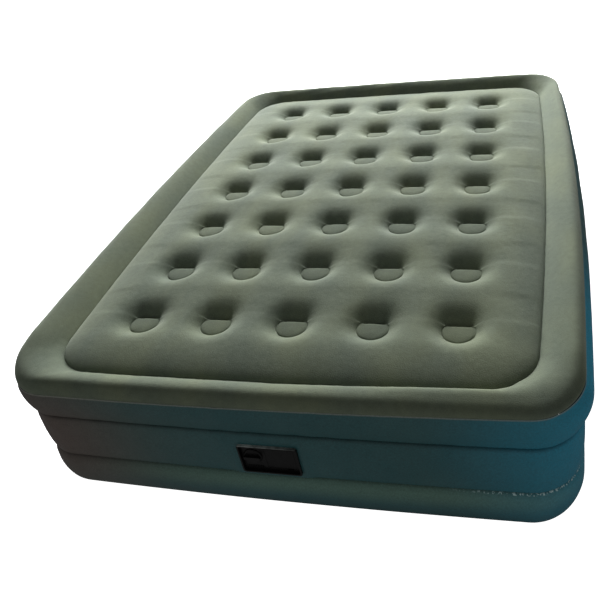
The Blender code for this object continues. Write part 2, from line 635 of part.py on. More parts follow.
def main():
    clear_scene()
    flock = material("olive_flock", (0.115, 0.122, 0.088), 0.95)
    vinyl = material("teal_vinyl", (0.035, 0.095, 0.105), 0.55)
    tie = material("clear_grey_vinyl", (0.45, 0.47, 0.46), 0.45)
    black = material("black_plastic", (0.018, 0.018, 0.020), 0.38)
    grey = material("grey_plastic", (0.30, 0.30, 0.31), 0.45)
    rubber = material("black_rubber", (0.025, 0.025, 0.025), 0.80)
    steel = material("zinc_steel", (0.55, 0.55, 0.56), 0.30, 1.0)
    make_top_sheet(flock)
    make_side_sheets(vinyl)
    make_bottom_sheet(vinyl)
    make_perimeter_strap(tie)
    make_coil_ties(tie)
    make_pump_case(black, rubber)
    make_faceplate(black)
    make_intake_grille(black)
    make_cord_compartment(black, rubber, steel)
    make_storage_door(black)
    make_dial(black, grey)
    make_switch(black, grey)
    make_blower(steel, grey, steel)
    make_outlet_flap(rubber)


main()
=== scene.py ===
import json
from math import pi, radians

import bmesh
import bpy
import numpy as np
from mathutils import Euler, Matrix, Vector


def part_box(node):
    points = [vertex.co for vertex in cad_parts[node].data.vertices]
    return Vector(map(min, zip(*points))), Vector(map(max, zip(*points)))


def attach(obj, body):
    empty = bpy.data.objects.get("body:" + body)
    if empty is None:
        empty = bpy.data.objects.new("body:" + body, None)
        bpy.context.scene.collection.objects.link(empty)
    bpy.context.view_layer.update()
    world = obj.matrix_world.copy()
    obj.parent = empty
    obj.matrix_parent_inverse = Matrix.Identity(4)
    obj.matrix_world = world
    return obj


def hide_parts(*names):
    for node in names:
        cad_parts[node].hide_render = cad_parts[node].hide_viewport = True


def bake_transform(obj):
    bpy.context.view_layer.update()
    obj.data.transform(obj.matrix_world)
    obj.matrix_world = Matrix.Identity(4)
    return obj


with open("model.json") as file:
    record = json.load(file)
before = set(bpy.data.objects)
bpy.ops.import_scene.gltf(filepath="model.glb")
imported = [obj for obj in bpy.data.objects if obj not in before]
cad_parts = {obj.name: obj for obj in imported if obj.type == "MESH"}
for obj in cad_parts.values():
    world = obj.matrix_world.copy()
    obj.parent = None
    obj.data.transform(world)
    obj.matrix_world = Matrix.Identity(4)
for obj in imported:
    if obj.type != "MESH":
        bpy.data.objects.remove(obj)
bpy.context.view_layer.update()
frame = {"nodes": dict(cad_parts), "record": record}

# Driving sizes, read from the frame
OUTLINE_MARGIN = 0.001
SEAM_LAP = 0.0003
ENVELOPE_HALF_X = (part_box("upper_side_band")[1].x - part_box("upper_side_band")[0].x) / 2 + OUTLINE_MARGIN
ENVELOPE_HALF_Y = (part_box("upper_side_band")[1].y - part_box("upper_side_band")[0].y) / 2 + OUTLINE_MARGIN
TOP_SEAM_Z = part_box("upper_side_band")[1].z + SEAM_LAP
CREST_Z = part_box("top_sheet")[1].z
MID_SEAM_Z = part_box("middle_side_band")[1].z
LOW_SEAM_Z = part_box("lower_side_band")[1].z
FLOOR_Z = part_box("bottom_sheet")[0].z
FOOT_INSET = ENVELOPE_HALF_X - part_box("bottom_sheet")[1].x
COLUMNS, ROWS = 5, 7
FIRST_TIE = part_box("coil_tie_r1_c1")
LAST_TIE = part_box("coil_tie_r7_c5")
PITCH_X = (LAST_TIE[0].x - FIRST_TIE[0].x) / (COLUMNS - 1)
PITCH_Y = (LAST_TIE[0].y - FIRST_TIE[0].y) / (ROWS - 1)
PUMP_LOW, PUMP_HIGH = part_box("pump_collar")

# Outline of the envelope: round corners, and sides that stand proud in the middle
CORNER_RADIUS = 0.132
INNER_CORNER_RADIUS = 0.090
GROOVE_CORNER_RADIUS = 0.122
LONG_SIDE_BOW = 0.035
SHORT_SIDE_BOW = 0.012
SIDE_RIM_EXTRA = 0.029
SIDE_RIM_TAPER = 0.013
CORNER_STEPS = 12
STRAIGHT_STEPS = 40
BAND_SPACING = 0.0065
BOTTOM_SPACING = 0.02

# Top seam and rim, which lie higher on the right than on the left
SEAM_TILT = 0.012
SEAM_CURVE = 0.008
SEAM_LOWER = 0.0030
TILT_LEFT_X, TILT_RIGHT_X = -0.65, 0.62
TILTED_Z = (0.390, 0.420)
TILTED_INSET = 0.03
RIGHT_SIDE_X = (0.60, 0.71)
RIGHT_BULGE = 0.004
RIGHT_RIM_SET_IN = 0.011
RIGHT_SET_IN_INSET = (0.0, 0.05)
RIGHT_SET_IN_SHARE = (0.72, 1.0)
RIGHT_INNER_RISE = 0.0120
RIGHT_INNER_X = (0.0, 0.50)
RIGHT_INNER_INSET = 0.070
RIGHT_INNER_WIDTH = 0.024

# Sleeping panel
GROOVE_INSET = 0.084
GROOVE_Z = 0.390
PANEL_EDGE_Z = 0.4155
PANEL_CROWN = 0.010
CROWN_INSET = 0.11
SHOULDER_WIDTH = 0.145
ROW_VALLEY = 0.0045
COLUMN_VALLEY = 0.0015
ROW_VALLEY_SHIFT = 0.012
FIELD_FADE_X = (-0.07, 0.03)
FIELD_FADE_Y = (-0.08, 0.02)
MARGIN_RINGS = 12

# One dimple: a round patch cut off straight at the back, and a pocket behind its straight edge
PATCH_RADIUS = 0.0420
PATCH_BACK = 0.020
PATCH_CORNER = 0.006
PATCH_MIDDLE = -0.010
PATCH_DROP = 0.0265
PATCH_DOME = 0.0030
PATCH_DOME_MIDDLE = -0.004
PATCH_DOME_LENGTH = 0.030
PATCH_EDGE_DROP = 0.0014
PATCH_EDGE_REACH = 0.0025
PATCH_BORDER = (-0.0006, 0.0012)
LIP_DROP = 0.0255
LIP_WIDTH = 0.056
CREASE_DEPTH = 0.0020
CREASE_WIDTH = 0.0015
CREASE_OFFSET = 0.0002
FUNNEL_START = 0.0045
FUNNEL_STEEP_DROP = 0.030
FUNNEL_STEEP_REACH = 0.024
FUNNEL_STEEP_POWER = 1.25
FUNNEL_GENTLE_DROP = 0.021
FUNNEL_LENGTH = 0.120
FUNNEL_HALF_WIDTH = 0.019
FUNNEL_SIDE_STEEPNESS = 1.15
FUNNEL_BLEND = 0.003

# How far out the lines round a patch lie: first as shares of the patch, then from its edge to the cell's edge
PATCH_LEVELS = [0, 0.14, 0.28, 0.43, 0.58, 0.72, 0.84, 0.92, 0.97, 1.0]
OUTER_LEVELS = [0.010, 0.028, 0.055, 0.090, 0.14, 0.21, 0.31, 0.44, 0.60, 0.79, 1.0]

# Section of the rim from the groove to the top seam, as (inset, z): lower and wider across the front
RIM_ALONG_SIDES = [
    (GROOVE_INSET, GROOVE_Z), (0.0800, 0.3955), (0.0720, 0.4035), (0.0610, 0.4135), (0.0480, 0.4225),
    (0.0350, 0.4288), (0.0240, CREST_Z - 0.0008), (0.0150, 0.4292), (0.0080, 0.4225), (0.0040, 0.4120),
    (0.0034, 0.3990), (0.0050, TOP_SEAM_Z)]
RIM_ACROSS_FRONT = [
    (GROOVE_INSET, GROOVE_Z), (0.0780, 0.3962), (0.0690, 0.4040), (0.0580, 0.4110), (0.0450, 0.4162),
    (0.0330, 0.4180), (0.0220, 0.4163), (0.0130, 0.4115), (0.0070, 0.4052), (0.0042, 0.3988),
    (0.0036, 0.3930), (0.0050, TOP_SEAM_Z)]
RIM_STEPS = 3
FRONT_Y = (0.80, 0.97)

# Sections of the three side bands, from their upper seam to their lower one
UPPER_BAND = [
    (0.0050, TOP_SEAM_Z - 0.0004), (0.0026, 0.3795), (0.0000, 0.3630), (0.0015, 0.3400), (0.0055, 0.3190),
    (0.0110, 0.3010), (0.0160, 0.2945), (0.0265, MID_SEAM_Z + 0.0006)]
MIDDLE_BAND = [
    (0.0265, MID_SEAM_Z - 0.0002), (0.0175, 0.2825), (0.0130, 0.2700), (0.0112, 0.2450), (0.0105, 0.2150),
    (0.0112, 0.1850), (0.0135, 0.1600), (0.0170, 0.1470), (0.0240, LOW_SEAM_Z + 0.0006)]
LOWER_BAND = [
    (0.0240, LOW_SEAM_Z - 0.0002), (0.0165, 0.1335), (0.0105, 0.1230), (0.0070, 0.1000), (0.0085, 0.0720),
    (0.0170, 0.0420), (0.0320, 0.0180), (0.0480, 0.0050), (FOOT_INSET, FLOOR_Z)]
BAND_STEPS = 4

# Puckers at the seams and slow waves between them, as (height, reach, depth, wavelength, seed)
UPPER_RIPPLES = [
    (0.375, 0.012, 0.0008, 0.05, 21), (0.34, 0.04, 0.0014, 0.30, 22), (0.297, 0.010, 0.0007, 0.06, 23)]
MIDDLE_RIPPLES = [(0.28, 0.012, 0.0007, 0.05, 41), (0.21, 0.05, 0.0014, 0.30, 42)]
LOWER_RIPPLES = [(0.13, 0.012, 0.0008, 0.05, 31), (0.09, 0.04, 0.0014, 0.30, 32)]

# Waves of the flocked sheet, as (depth, wavelength, seed)
PANEL_WAVES = (0.0009, 0.16, 3)
SEAM_PUCKERS = (0.0010, 0.045, 11)
GROOVE_PUCKERS = (0.0008, 0.040, 12)
RIM_WAVES = (0.0008, 0.22, 13)
PUCKER_REACH = 0.010

# Pump surround
COLLAR_LAP = 0.0020
SWELL_HEIGHT = 0.0045
SWELL_DISTANCE = 0.016
SWELL_REACH = 0.013
SWELL_FADE = (-0.10, -0.02)
HOLE_REACH = 0.03
BEVELS = {"pump_collar": 0.0012, "pump_faceplate": 0.0006, "dial_knob": 0.0008, "storage_door": 0.0006,
          "intake_grille": 0.0003, "cord_bin": 0.0005, "pump_housing": 0.0010}

# Ties, and the bottom sheet that the patches at their feet are welded to
TIE_TOP_ZONE_Z = 0.34
TIE_CLEARANCE = 0.003
GROOVE_TIE_WIDTH = 0.01
FOOT_PATCH_LIFT = 0.0022
FOOT_PATCH_RADIUS = (0.026, 0.044)
BOTTOM_RINGS = 60
BOTTOM_SET_IN = 0.001
BOTTOM_RAISE = 0.0002
BOTTOM_MIDDLE_SIZE = 0.0005


def smoothstep(value, low, high):
    """0 up to low, 1 from high on, and a soft curve between."""
    t = np.clip((value - low) / (high - low), 0, 1)
    return t * t * (3 - 2 * t)


def undulation(x, y, scale, seed):
    """Gentle seeded waves between -1 and 1 over a surface; scale is the typical wavelength."""
    random = np.random.default_rng(seed)
    total = np.zeros_like(x)
    waves, usual_peak = 7, 1.6
    for _ in range(waves):
        angle = random.uniform(0, 2 * pi)
        number = 2 * pi / (scale * random.uniform(0.7, 1.4))
        phase = random.uniform(0, 2 * pi)
        total += np.sin(number * (x * np.cos(angle) + y * np.sin(angle)) + phase)
    return total / waves ** 0.5 / usual_peak


# ---------------------------------------------------------------- outline

def half_corner(half_x, half_y, radius, side, start):
    """Points from 45 degrees of one rounded corner to 45 degrees of the next, round one side."""
    corners = [(-1, -1), (1, -1), (1, 1), (-1, 1)]
    points = []
    for corner, first in ((corners[side], start), (corners[(side + 1) % 4], start + 45)):
        for k in range(CORNER_STEPS + 1):
            a = radians(first + 45 * k / CORNER_STEPS)
            points.append((corner[0] * (half_x - radius) + radius * np.cos(a),
                           corner[1] * (half_y - radius) + radius * np.sin(a)))
    return points


def draw_in(x, y, squeeze):
    """Shares by which x and y shrink: the sides are bowed, and the rim is wider along the long sides."""
    draw_x = 1 - LONG_SIDE_BOW / ENVELOPE_HALF_X * (y / ENVELOPE_HALF_Y) ** 2
    draw_y = 1 - SHORT_SIDE_BOW / ENVELOPE_HALF_Y * (x / ENVELOPE_HALF_X) ** 2
    return draw_x * (1 - squeeze * (SIDE_RIM_EXTRA - SIDE_RIM_TAPER * y) / ENVELOPE_HALF_X), draw_y


def outline(inset, shares, squeeze=0.0):
    """The plan outline at one inset, as points at the given shares (0 to 1) of each of its four sides.

    A side runs from the middle of one corner to the middle of the next, anticlockwise from front left.
    """
    half_x, half_y = ENVELOPE_HALF_X - inset, ENVELOPE_HALF_Y - inset
    radius = max(CORNER_RADIUS - inset, INNER_CORNER_RADIUS)
    radius += (GROOVE_CORNER_RADIUS - radius) * squeeze
    ring = []
    for side, start in enumerate((225, 315, 45, 135)):
        corner = np.array(half_corner(half_x, half_y, radius, side, start))
        middle = len(corner) // 2
        straight = np.linspace(corner[middle - 1], corner[middle], STRAIGHT_STEPS)[1:-1]
        line = np.concatenate([corner[:middle], straight, corner[middle:]])
        line = line * np.stack(draw_in(line[:, 0], line[:, 1], squeeze), 1)
        along = np.concatenate([[0], np.cumsum(np.hypot(*np.diff(line, axis=0).T))])
        at = np.asarray(shares[side % 2]) * along[-1]
        ring.append(np.stack([np.interp(at, along, line[:, 0]), np.interp(at, along, line[:, 1])], 1))
    return np.concatenate(ring)


def even_shares(spacing):
    """Evenly spaced shares for short and long sides."""
    counts = [round(2 * half / spacing) for half in (ENVELOPE_HALF_X, ENVELOPE_HALF_Y)]
    return [np.arange(count) / count for count in counts]


def arc_length(ring):
    """Distance along a closed ring at each of its points."""
    step = np.hypot(*(np.roll(ring, -1, axis=0) - ring).T)
    return np.concatenate([[0], np.cumsum(step)[:-1]])


def smooth_profile(points, steps):
    """A Catmull-Rom curve through (inset, z) points."""
    p = np.array(points)
    p = np.concatenate([[2 * p[0] - p[1]], p, [2 * p[-1] - p[-2]]])
    curve = []
    for a, b, c, d in zip(p, p[1:], p[2:], p[3:]):
        for k in range(steps):
            t = k / steps
            curve.append(0.5 * (2 * b + (c - a) * t + (2 * a - 5 * b + 4 * c - d) * t ** 2
                                + (3 * b - a - 3 * c + d) * t ** 3))
    curve.append(p[-2])
    return np.array(curve)


def seam_rise(x):
    """How much higher than average the top seam lies."""
    x = np.clip(x, TILT_LEFT_X, TILT_RIGHT_X)
    return SEAM_TILT * x + SEAM_CURVE * x ** 2 - SEAM_LOWER


def at_right(x):
    """1 along the right long side, and 0 everywhere else."""
    return smoothstep(x, *RIGHT_SIDE_X)


def outward_from_centre(ring):
    """Unit vectors from the middle of the bed through the points of a ring."""
    return ring / np.hypot(*ring.T)[:, None]


# ---------------------------------------------------------------- meshes

def mesh_piece(name, vertices, faces, body, material):
    """A smooth mesh, attached to a body when one is given."""
    mesh = bpy.data.meshes.new(name)
    mesh.from_pydata(np.asarray(vertices).tolist(), [], np.asarray(faces).tolist())
    mesh.validate()
    mesh.shade_smooth()
    mesh.materials.append(material)
    obj = bpy.data.objects.new(name, mesh)
    bpy.context.scene.collection.objects.link(obj)
    if body:
        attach(obj, body)
    return obj


def grid_faces(rows, columns):
    """Quads of a grid of vertices numbered row by row."""
    r, c = np.meshgrid(np.arange(rows - 1), np.arange(columns - 1), indexing="ij")
    a = (r * columns + c).ravel()
    return np.stack([a, a + 1, a + columns + 1, a + columns], 1)


def ring_faces(lower, upper):
    """Quads between two equal rings of vertex numbers."""
    return np.stack([lower, np.roll(lower, -1), np.roll(upper, -1), upper], 1)


# ---------------------------------------------------------------- sleeping panel

def groove_distance(x, y):
    """Distance inwards from the groove, over the panel."""
    draw_x, draw_y = draw_in(x, y, 1.0)
    flat_x, flat_y = x / draw_x, y / draw_y
    qx = np.abs(flat_x) - (ENVELOPE_HALF_X - GROOVE_INSET - GROOVE_CORNER_RADIUS)
    qy = np.abs(flat_y) - (ENVELOPE_HALF_Y - GROOVE_INSET - GROOVE_CORNER_RADIUS)
    outside = np.hypot(np.maximum(qx, 0), np.maximum(qy, 0))
    inside = np.minimum(np.maximum(qx, qy), 0)
    return GROOVE_CORNER_RADIUS - outside - inside


def nearest_dimple(value, pitch, count):
    """Offset from the nearest of a row of evenly spaced dimples."""
    index = np.clip(np.round(value / pitch + (count - 1) / 2), 0, count - 1)
    return value - (index - (count - 1) / 2) * pitch


def dimple_drop(u, v, base):
    """How far the surface lies below the crest at (u, v) from the middle of a patch."""
    r = np.hypot(u, v)
    back = v - PATCH_BACK
    reach = np.clip((r - PATCH_RADIUS) / LIP_WIDTH, 0, 1)
    lip = LIP_DROP * (1 - reach) ** 2
    drop = base + lip * (1 - base / LIP_DROP)

    # The funnel behind the straight edge: steep at first, then a long gentle slope
    aside = np.maximum(np.abs(u) - FUNNEL_HALF_WIDTH, 0) * FUNNEL_SIDE_STEEPNESS
    away = np.hypot(np.maximum(back, 0), aside)
    funnel = FUNNEL_STEEP_DROP * np.exp(-(away / FUNNEL_STEEP_REACH) ** FUNNEL_STEEP_POWER)
    funnel += FUNNEL_GENTLE_DROP * np.clip(1 - away / FUNNEL_LENGTH, 0, 1) ** 2
    start = smoothstep(back, 0, FUNNEL_START)
    deeper = funnel - drop
    drop += 0.5 * (deeper + np.sqrt(deeper ** 2 + FUNNEL_BLEND ** 2)) * start

    # The patch: gently domed, with rounded edges
    a, b = r - PATCH_RADIUS + PATCH_CORNER, back + PATCH_CORNER
    edge = np.minimum(np.maximum(a, b), 0) + np.hypot(np.maximum(a, 0), np.maximum(b, 0)) - PATCH_CORNER
    dome = (u / PATCH_RADIUS) ** 2 * 0.6 + ((v - PATCH_DOME_MIDDLE) / PATCH_DOME_LENGTH) ** 2 * 0.7
    rolled_edge = PATCH_EDGE_DROP * np.exp(np.minimum(edge, 0) / PATCH_EDGE_REACH)
    flat = PATCH_DROP + PATCH_DOME * (np.minimum(dome, 1.5) - 0.8) + rolled_edge
    patch = 1 - smoothstep(edge, *PATCH_BORDER)
    drop = drop * (1 - patch) + flat * patch

    # A crease round the patch, deepest in front and none along the straight edge
    front = 0.15 + 0.85 * smoothstep(-v / np.maximum(r, 1e-6), -0.1, 0.9)
    crease = CREASE_DEPTH * np.exp(-((edge - CREASE_OFFSET) / CREASE_WIDTH) ** 2) * front
    return drop + crease * (1 - smoothstep(back, -0.006, -0.001))


def panel_height(x, y):
    """Height of the sleeping surface at plan points, down to the groove round it."""
    rise_x = np.maximum(0, 1 - (x / (ENVELOPE_HALF_X - CROWN_INSET)) ** 2)
    rise_y = np.maximum(0, 1 - (y / (ENVELOPE_HALF_Y - CROWN_INSET)) ** 2)
    crest = PANEL_EDGE_Z + PANEL_CROWN * (rise_x * rise_y)
    depth, wavelength, seed = PANEL_WAVES
    crest += depth * undulation(x, y, wavelength, seed)
    u = nearest_dimple(x, PITCH_X, COLUMNS)
    v = nearest_dimple(y, PITCH_Y, ROWS)
    field_x, field_y = COLUMNS / 2 * PITCH_X, ROWS / 2 * PITCH_Y
    within_x = 1 - smoothstep(np.abs(x), field_x + FIELD_FADE_X[0], field_x + FIELD_FADE_X[1])
    within_y = 1 - smoothstep(np.abs(y), field_y + FIELD_FADE_Y[0], field_y + FIELD_FADE_Y[1])
    row_wave = 0.5 + 0.5 * np.cos(2 * pi * (v - ROW_VALLEY_SHIFT) / PITCH_Y)
    column_wave = 0.5 + 0.5 * np.cos(2 * pi * u / PITCH_X)
    base = (ROW_VALLEY * row_wave + COLUMN_VALLEY * column_wave) * within_x * within_y
    surface = crest - dimple_drop(u, v, base)
    share = np.clip(groove_distance(x, y) / SHOULDER_WIDTH, 0, 1)
    rounded = np.sqrt(1 - (1 - share) ** 2)
    return GROOVE_Z + (surface - GROOVE_Z) * rounded


def patch_edge(side, share):
    """Points on the patch's outline. Sides are 0 front, 1 right, 2 back (straight) and 3 left."""
    corner = np.arcsin(PATCH_BACK / PATCH_RADIUS)
    sweep = (pi + 2 * corner) / 3
    if side == 2:
        return PATCH_RADIUS * np.cos(corner) * share, np.full_like(share, PATCH_BACK)
    if side == 3:
        angle = pi - corner + sweep * (1 - share) / 2
    else:
        first = -pi / 2 - sweep / 2 if side == 0 else -pi / 2 + sweep / 2
        angle = first + sweep * (share + 1) / 2
    return PATCH_RADIUS * np.cos(angle), PATCH_RADIUS * np.sin(angle)


def cell_grid():
    """Plan points of one dimple's cell on a square grid whose inner lines follow the patch's outline.

    Returns x, y offsets and the shares of the cell's width where its lines meet its edge.
    """
    inner = len(PATCH_LEVELS) - 1
    count = inner + len(OUTER_LEVELS)
    spread = np.concatenate([np.array(PATCH_LEVELS) * 0.5, 0.5 + 0.5 * np.array(OUTER_LEVELS) ** 0.8])
    index = np.arange(-count, count + 1)
    j, i = np.meshgrid(index, index, indexing="ij")
    size = np.maximum(np.abs(i), np.abs(j))
    safe = np.maximum(spread[size], 1e-9)
    side_x = np.sign(i) * spread[np.abs(i)] / safe
    side_y = np.sign(j) * spread[np.abs(j)] / safe
    steep = np.abs(j) >= np.abs(i)
    edge_x, edge_y = np.zeros_like(side_x), np.zeros_like(side_x)
    for side, chosen, share in ((0, steep & (j < 0), side_x), (1, ~steep & (i > 0), side_y),
                                (2, steep & (j > 0), side_x), (3, ~steep & (i < 0), side_y)):
        x, y = patch_edge(side, share)
        edge_x[chosen], edge_y[chosen] = x[chosen], y[chosen]
    level = np.array(PATCH_LEVELS + [1.0] * len(OUTER_LEVELS))[size]
    outward = np.array([0.0] * (inner + 1) + OUTER_LEVELS)[size]
    x = edge_x * level * (1 - outward) + side_x * PITCH_X / 2 * outward
    y = (PATCH_MIDDLE + (edge_y - PATCH_MIDDLE) * level) * (1 - outward) + side_y * PITCH_Y / 2 * outward
    x[size == 0], y[size == 0] = 0, PATCH_MIDDLE
    shares = 0.5 + 0.5 * np.sign(index) * spread[np.abs(index)]
    return x, y, shares


def panel_grid():
    """Plan points of the whole dimpled field, row by row."""
    cell_x, cell_y, shares = cell_grid()
    steps = cell_x.shape[0] - 1
    x = np.zeros((ROWS * steps + 1, COLUMNS * steps + 1))
    y = np.zeros_like(x)
    for row in range(ROWS):
        for column in range(COLUMNS):
            rows = slice(row * steps, row * steps + steps + 1)
            columns = slice(column * steps, column * steps + steps + 1)
            x[rows, columns] = cell_x + (column - (COLUMNS - 1) / 2) * PITCH_X
            y[rows, columns] = cell_y + (row - (ROWS - 1) / 2) * PITCH_Y
    return x, y, shares[:-1]


def rim_ring(shares, inset, z, front_inset, front_z):
    """One line round the rim, at one point of its section: plan points, and their heights."""
    ring = outline(inset, shares, min(inset / GROOVE_INSET, 1))
    front_ring = outline(front_inset, shares, min(front_inset / GROOVE_INSET, 1))
    share = smoothstep(-ring[:, 1], *FRONT_Y)
    ring += (front_ring - ring) * share[:, None]
    height = z + (front_z - z) * share

    along = arc_length(ring)
    near_seam = np.exp(-((z - TOP_SEAM_Z) / PUCKER_REACH) ** 2) * (z > TOP_SEAM_Z + 0.001)
    near_groove = np.exp(-((inset - GROOVE_INSET) / PUCKER_REACH) ** 2)
    ripple = np.zeros_like(along)
    for near, (depth, wavelength, seed) in ((near_seam, SEAM_PUCKERS), (near_groove, GROOVE_PUCKERS)):
        ripple += depth * near * undulation(along, along * 0, wavelength, seed)
    ring = ring + outward_from_centre(ring) * ripple[:, None]
    depth, wavelength, seed = RIM_WAVES
    height += depth * undulation(along, along * 0 + z * 0.5, wavelength, seed) * (z > TOP_SEAM_Z + 0.002)

    height += seam_rise(ring[:, 0]) * (1 - smoothstep(height, *TILTED_Z)) * (inset < TILTED_INSET)
    inner_face = np.exp(-((inset - RIGHT_INNER_INSET) / RIGHT_INNER_WIDTH) ** 2)
    height += RIGHT_INNER_RISE * share * smoothstep(ring[:, 0], *RIGHT_INNER_X) * inner_face
    ring[:, 0] -= RIGHT_RIM_SET_IN * at_right(ring[:, 0]) * (1 - smoothstep(inset, *RIGHT_SET_IN_INSET))
    return ring, height


def make_flocked_top(material):
    """The sleeping panel, the groove round it, and the raised rim down to the top seam, as one sheet."""
    x, y, cell_shares = panel_grid()
    rows, columns = x.shape
    number = np.arange(rows * columns).reshape(rows, columns)
    border = np.concatenate([number[0, :-1], number[:-1, -1], number[-1, :0:-1], number[:0:-1, 0]])
    border_xy = np.stack([x.ravel()[border], y.ravel()[border]], 1)
    shares = [np.concatenate([(k + cell_shares) / count for k in range(count)]) for count in (COLUMNS, ROWS)]

    vertices = [np.stack([x.ravel(), y.ravel(), panel_height(x, y).ravel()], 1)]
    faces = [grid_faces(rows, columns)]
    last = border
    total = rows * columns

    def add_ring(points, z):
        """Join one more ring of points, at one height or at a height each, to the last one."""
        nonlocal last, total
        vertices.append(np.column_stack([points, np.broadcast_to(z, len(points))]))
        ring = total + np.arange(len(points))
        faces.append(ring_faces(ring, last))
        last, total = ring, total + len(points)

    groove = outline(GROOVE_INSET, shares, 1.0)
    for k in range(1, MARGIN_RINGS + 1):
        t = 1 - (1 - k / MARGIN_RINGS) ** 2
        points = border_xy + (groove - border_xy) * t
        add_ring(points, panel_height(points[:, 0], points[:, 1]) if k < MARGIN_RINGS else GROOVE_Z)

    sections = zip(smooth_profile(RIM_ALONG_SIDES, RIM_STEPS), smooth_profile(RIM_ACROSS_FRONT, RIM_STEPS))
    for (inset, z), (front_inset, front_z) in list(sections)[1:]:
        add_ring(*rim_ring(shares, inset, z, front_inset, front_z))

    top = mesh_piece("flocked_top", np.concatenate(vertices), np.concatenate(faces), "sleeping_surface",
                     material)
    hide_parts("top_sheet")
    return top


# ---------------------------------------------------------------- side bands, bottom sheet and ties

def pump_swell(x, y, z):
    """The sheet swells outwards in a soft ring round the pump's collar."""
    aside = np.maximum(np.abs(x - (PUMP_LOW.x + PUMP_HIGH.x) / 2) - (PUMP_HIGH.x - PUMP_LOW.x) / 2, 0)
    above = np.maximum(np.abs(z - (PUMP_LOW.z + PUMP_HIGH.z) / 2) - (PUMP_HIGH.z - PUMP_LOW.z) / 2, 0)
    away = np.hypot(aside, above)
    ring = np.exp(-((away - SWELL_DISTANCE) / SWELL_REACH) ** 2)
    return SWELL_HEIGHT * ring * (y < 0) * smoothstep(-np.abs(z - PUMP_LOW.z), *SWELL_FADE)


def cut_pump_hole(obj):
    """Open the front sheet for the pump. The cut edge ends inside the collar's wall."""
    low, high = PUMP_LOW, PUMP_HIGH

    def at_pump(face, margin):
        """Whether a face of the front sheet lies over the collar, or up to a margin outside it."""
        centre = face.calc_center_median()
        return (centre.y < low.y + 2 * HOLE_REACH and low.x - margin < centre.x < high.x + margin
                and low.z - margin < centre.z < high.z + margin)

    bm = bmesh.new()
    bm.from_mesh(obj.data)
    cuts = [((low.x + COLLAR_LAP, 0, 0), (1, 0, 0)), ((high.x - COLLAR_LAP, 0, 0), (1, 0, 0)),
            ((0, 0, low.z + COLLAR_LAP), (0, 0, 1)), ((0, 0, high.z - COLLAR_LAP), (0, 0, 1))]
    for point, normal in cuts:
        faces = [face for face in bm.faces if at_pump(face, HOLE_REACH)]
        edges = dict.fromkeys(edge for face in faces for edge in face.edges)
        points = dict.fromkeys(vertex for face in faces for vertex in face.verts)
        bmesh.ops.bisect_plane(bm, geom=[*faces, *edges, *points], dist=1e-6, plane_co=point, plane_no=normal)
    inside = [face for face in bm.faces if at_pump(face, -COLLAR_LAP)]
    bmesh.ops.delete(bm, geom=inside, context="FACES")
    bm.to_mesh(obj.data)
    bm.free()


def make_bottom(material):
    """The flat sheet that it stands on, drawn up a little where each tie's foot patch is welded."""
    shares = even_shares(BOTTOM_SPACING)
    vertices, faces = [], []
    total, last = 0, None
    for k in range(BOTTOM_RINGS + 1):
        size = 1 - k / BOTTOM_RINGS
        ring = outline(FOOT_INSET + BOTTOM_SET_IN, shares) * max(size, BOTTOM_MIDDLE_SIZE)
        u = nearest_dimple(ring[:, 0], PITCH_X, COLUMNS)
        v = nearest_dimple(ring[:, 1], PITCH_Y, ROWS)
        lift = FOOT_PATCH_LIFT * (1 - smoothstep(np.hypot(u, v), *FOOT_PATCH_RADIUS)) * (k > 0)
        vertices.append(np.column_stack([ring, FLOOR_Z + BOTTOM_RAISE + lift]))
        numbers = total + np.arange(len(ring))
        if last is not None:
            faces.append(ring_faces(numbers, last))
        last, total = numbers, total + len(ring)
    bottom = mesh_piece("bottom_sheet_vinyl", np.concatenate(vertices), np.concatenate(faces)[:, ::-1], "base",
                        material)
    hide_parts("bottom_sheet")


def make_band(name, section, ripples, material, body=None, swell=None):
    """A side sheet between two seams, with its ripples, and a swelling round what it holds."""
    shares = even_shares(BAND_SPACING)
    rings = []
    for inset, z in smooth_profile(section, BAND_STEPS):
        ring = outline(inset, shares)
        along = arc_length(ring)
        push = np.zeros(len(ring))
        for height, reach, depth, wavelength, seed in ripples:
            waves = undulation(along, along * 0 + z, wavelength, seed)
            push += depth * np.exp(-((z - height) / reach) ** 2) * waves
        if swell:
            push += swell(ring[:, 0], ring[:, 1], z)
        share = np.clip((z - MID_SEAM_Z) / (TOP_SEAM_Z - MID_SEAM_Z), 0, 1)
        bulge = RIGHT_BULGE * np.sin(pi * share) ** 2
        set_in = RIGHT_RIM_SET_IN * smoothstep(share, *RIGHT_SET_IN_SHARE)
        ring = ring + outward_from_centre(ring) * push[:, None]
        ring[:, 0] += (bulge - set_in) * at_right(ring[:, 0])
        rings.append(np.column_stack([ring, z + seam_rise(ring[:, 0]) * share]))
    count = len(rings[0])
    faces = [ring_faces(np.arange(count) + (k + 1) * count, np.arange(count) + k * count)
             for k in range(len(rings) - 1)]
    return mesh_piece(name, np.concatenate(rings), np.concatenate(faces), body, material)


def carry_over(node, name, material):
    """A copy of a tie or strap, shortened above a height so that its top stays just under the sleeping
    surface.
    """
    mesh = frame["nodes"][node].data.copy()
    mesh.materials.clear()
    mesh.materials.append(material)
    points = np.empty(3 * len(mesh.vertices))
    mesh.vertices.foreach_get("co", points)
    points = points.reshape(-1, 3)
    x, y, z = points.T
    ceiling = panel_height(x, y)
    at_groove = groove_distance(x, y) < GROOVE_TIE_WIDTH
    ceiling = np.where(at_groove, np.minimum(ceiling, GROOVE_Z), ceiling) - TIE_CLEARANCE
    points[:, 2] = np.where(z > TIE_TOP_ZONE_Z, np.minimum(z, ceiling), z)
    mesh.vertices.foreach_set("co", points.ravel())
    mesh.update()
    obj = bpy.data.objects.new(name, mesh)
    bpy.context.scene.collection.objects.link(obj)
    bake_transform(obj)
    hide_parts(node)


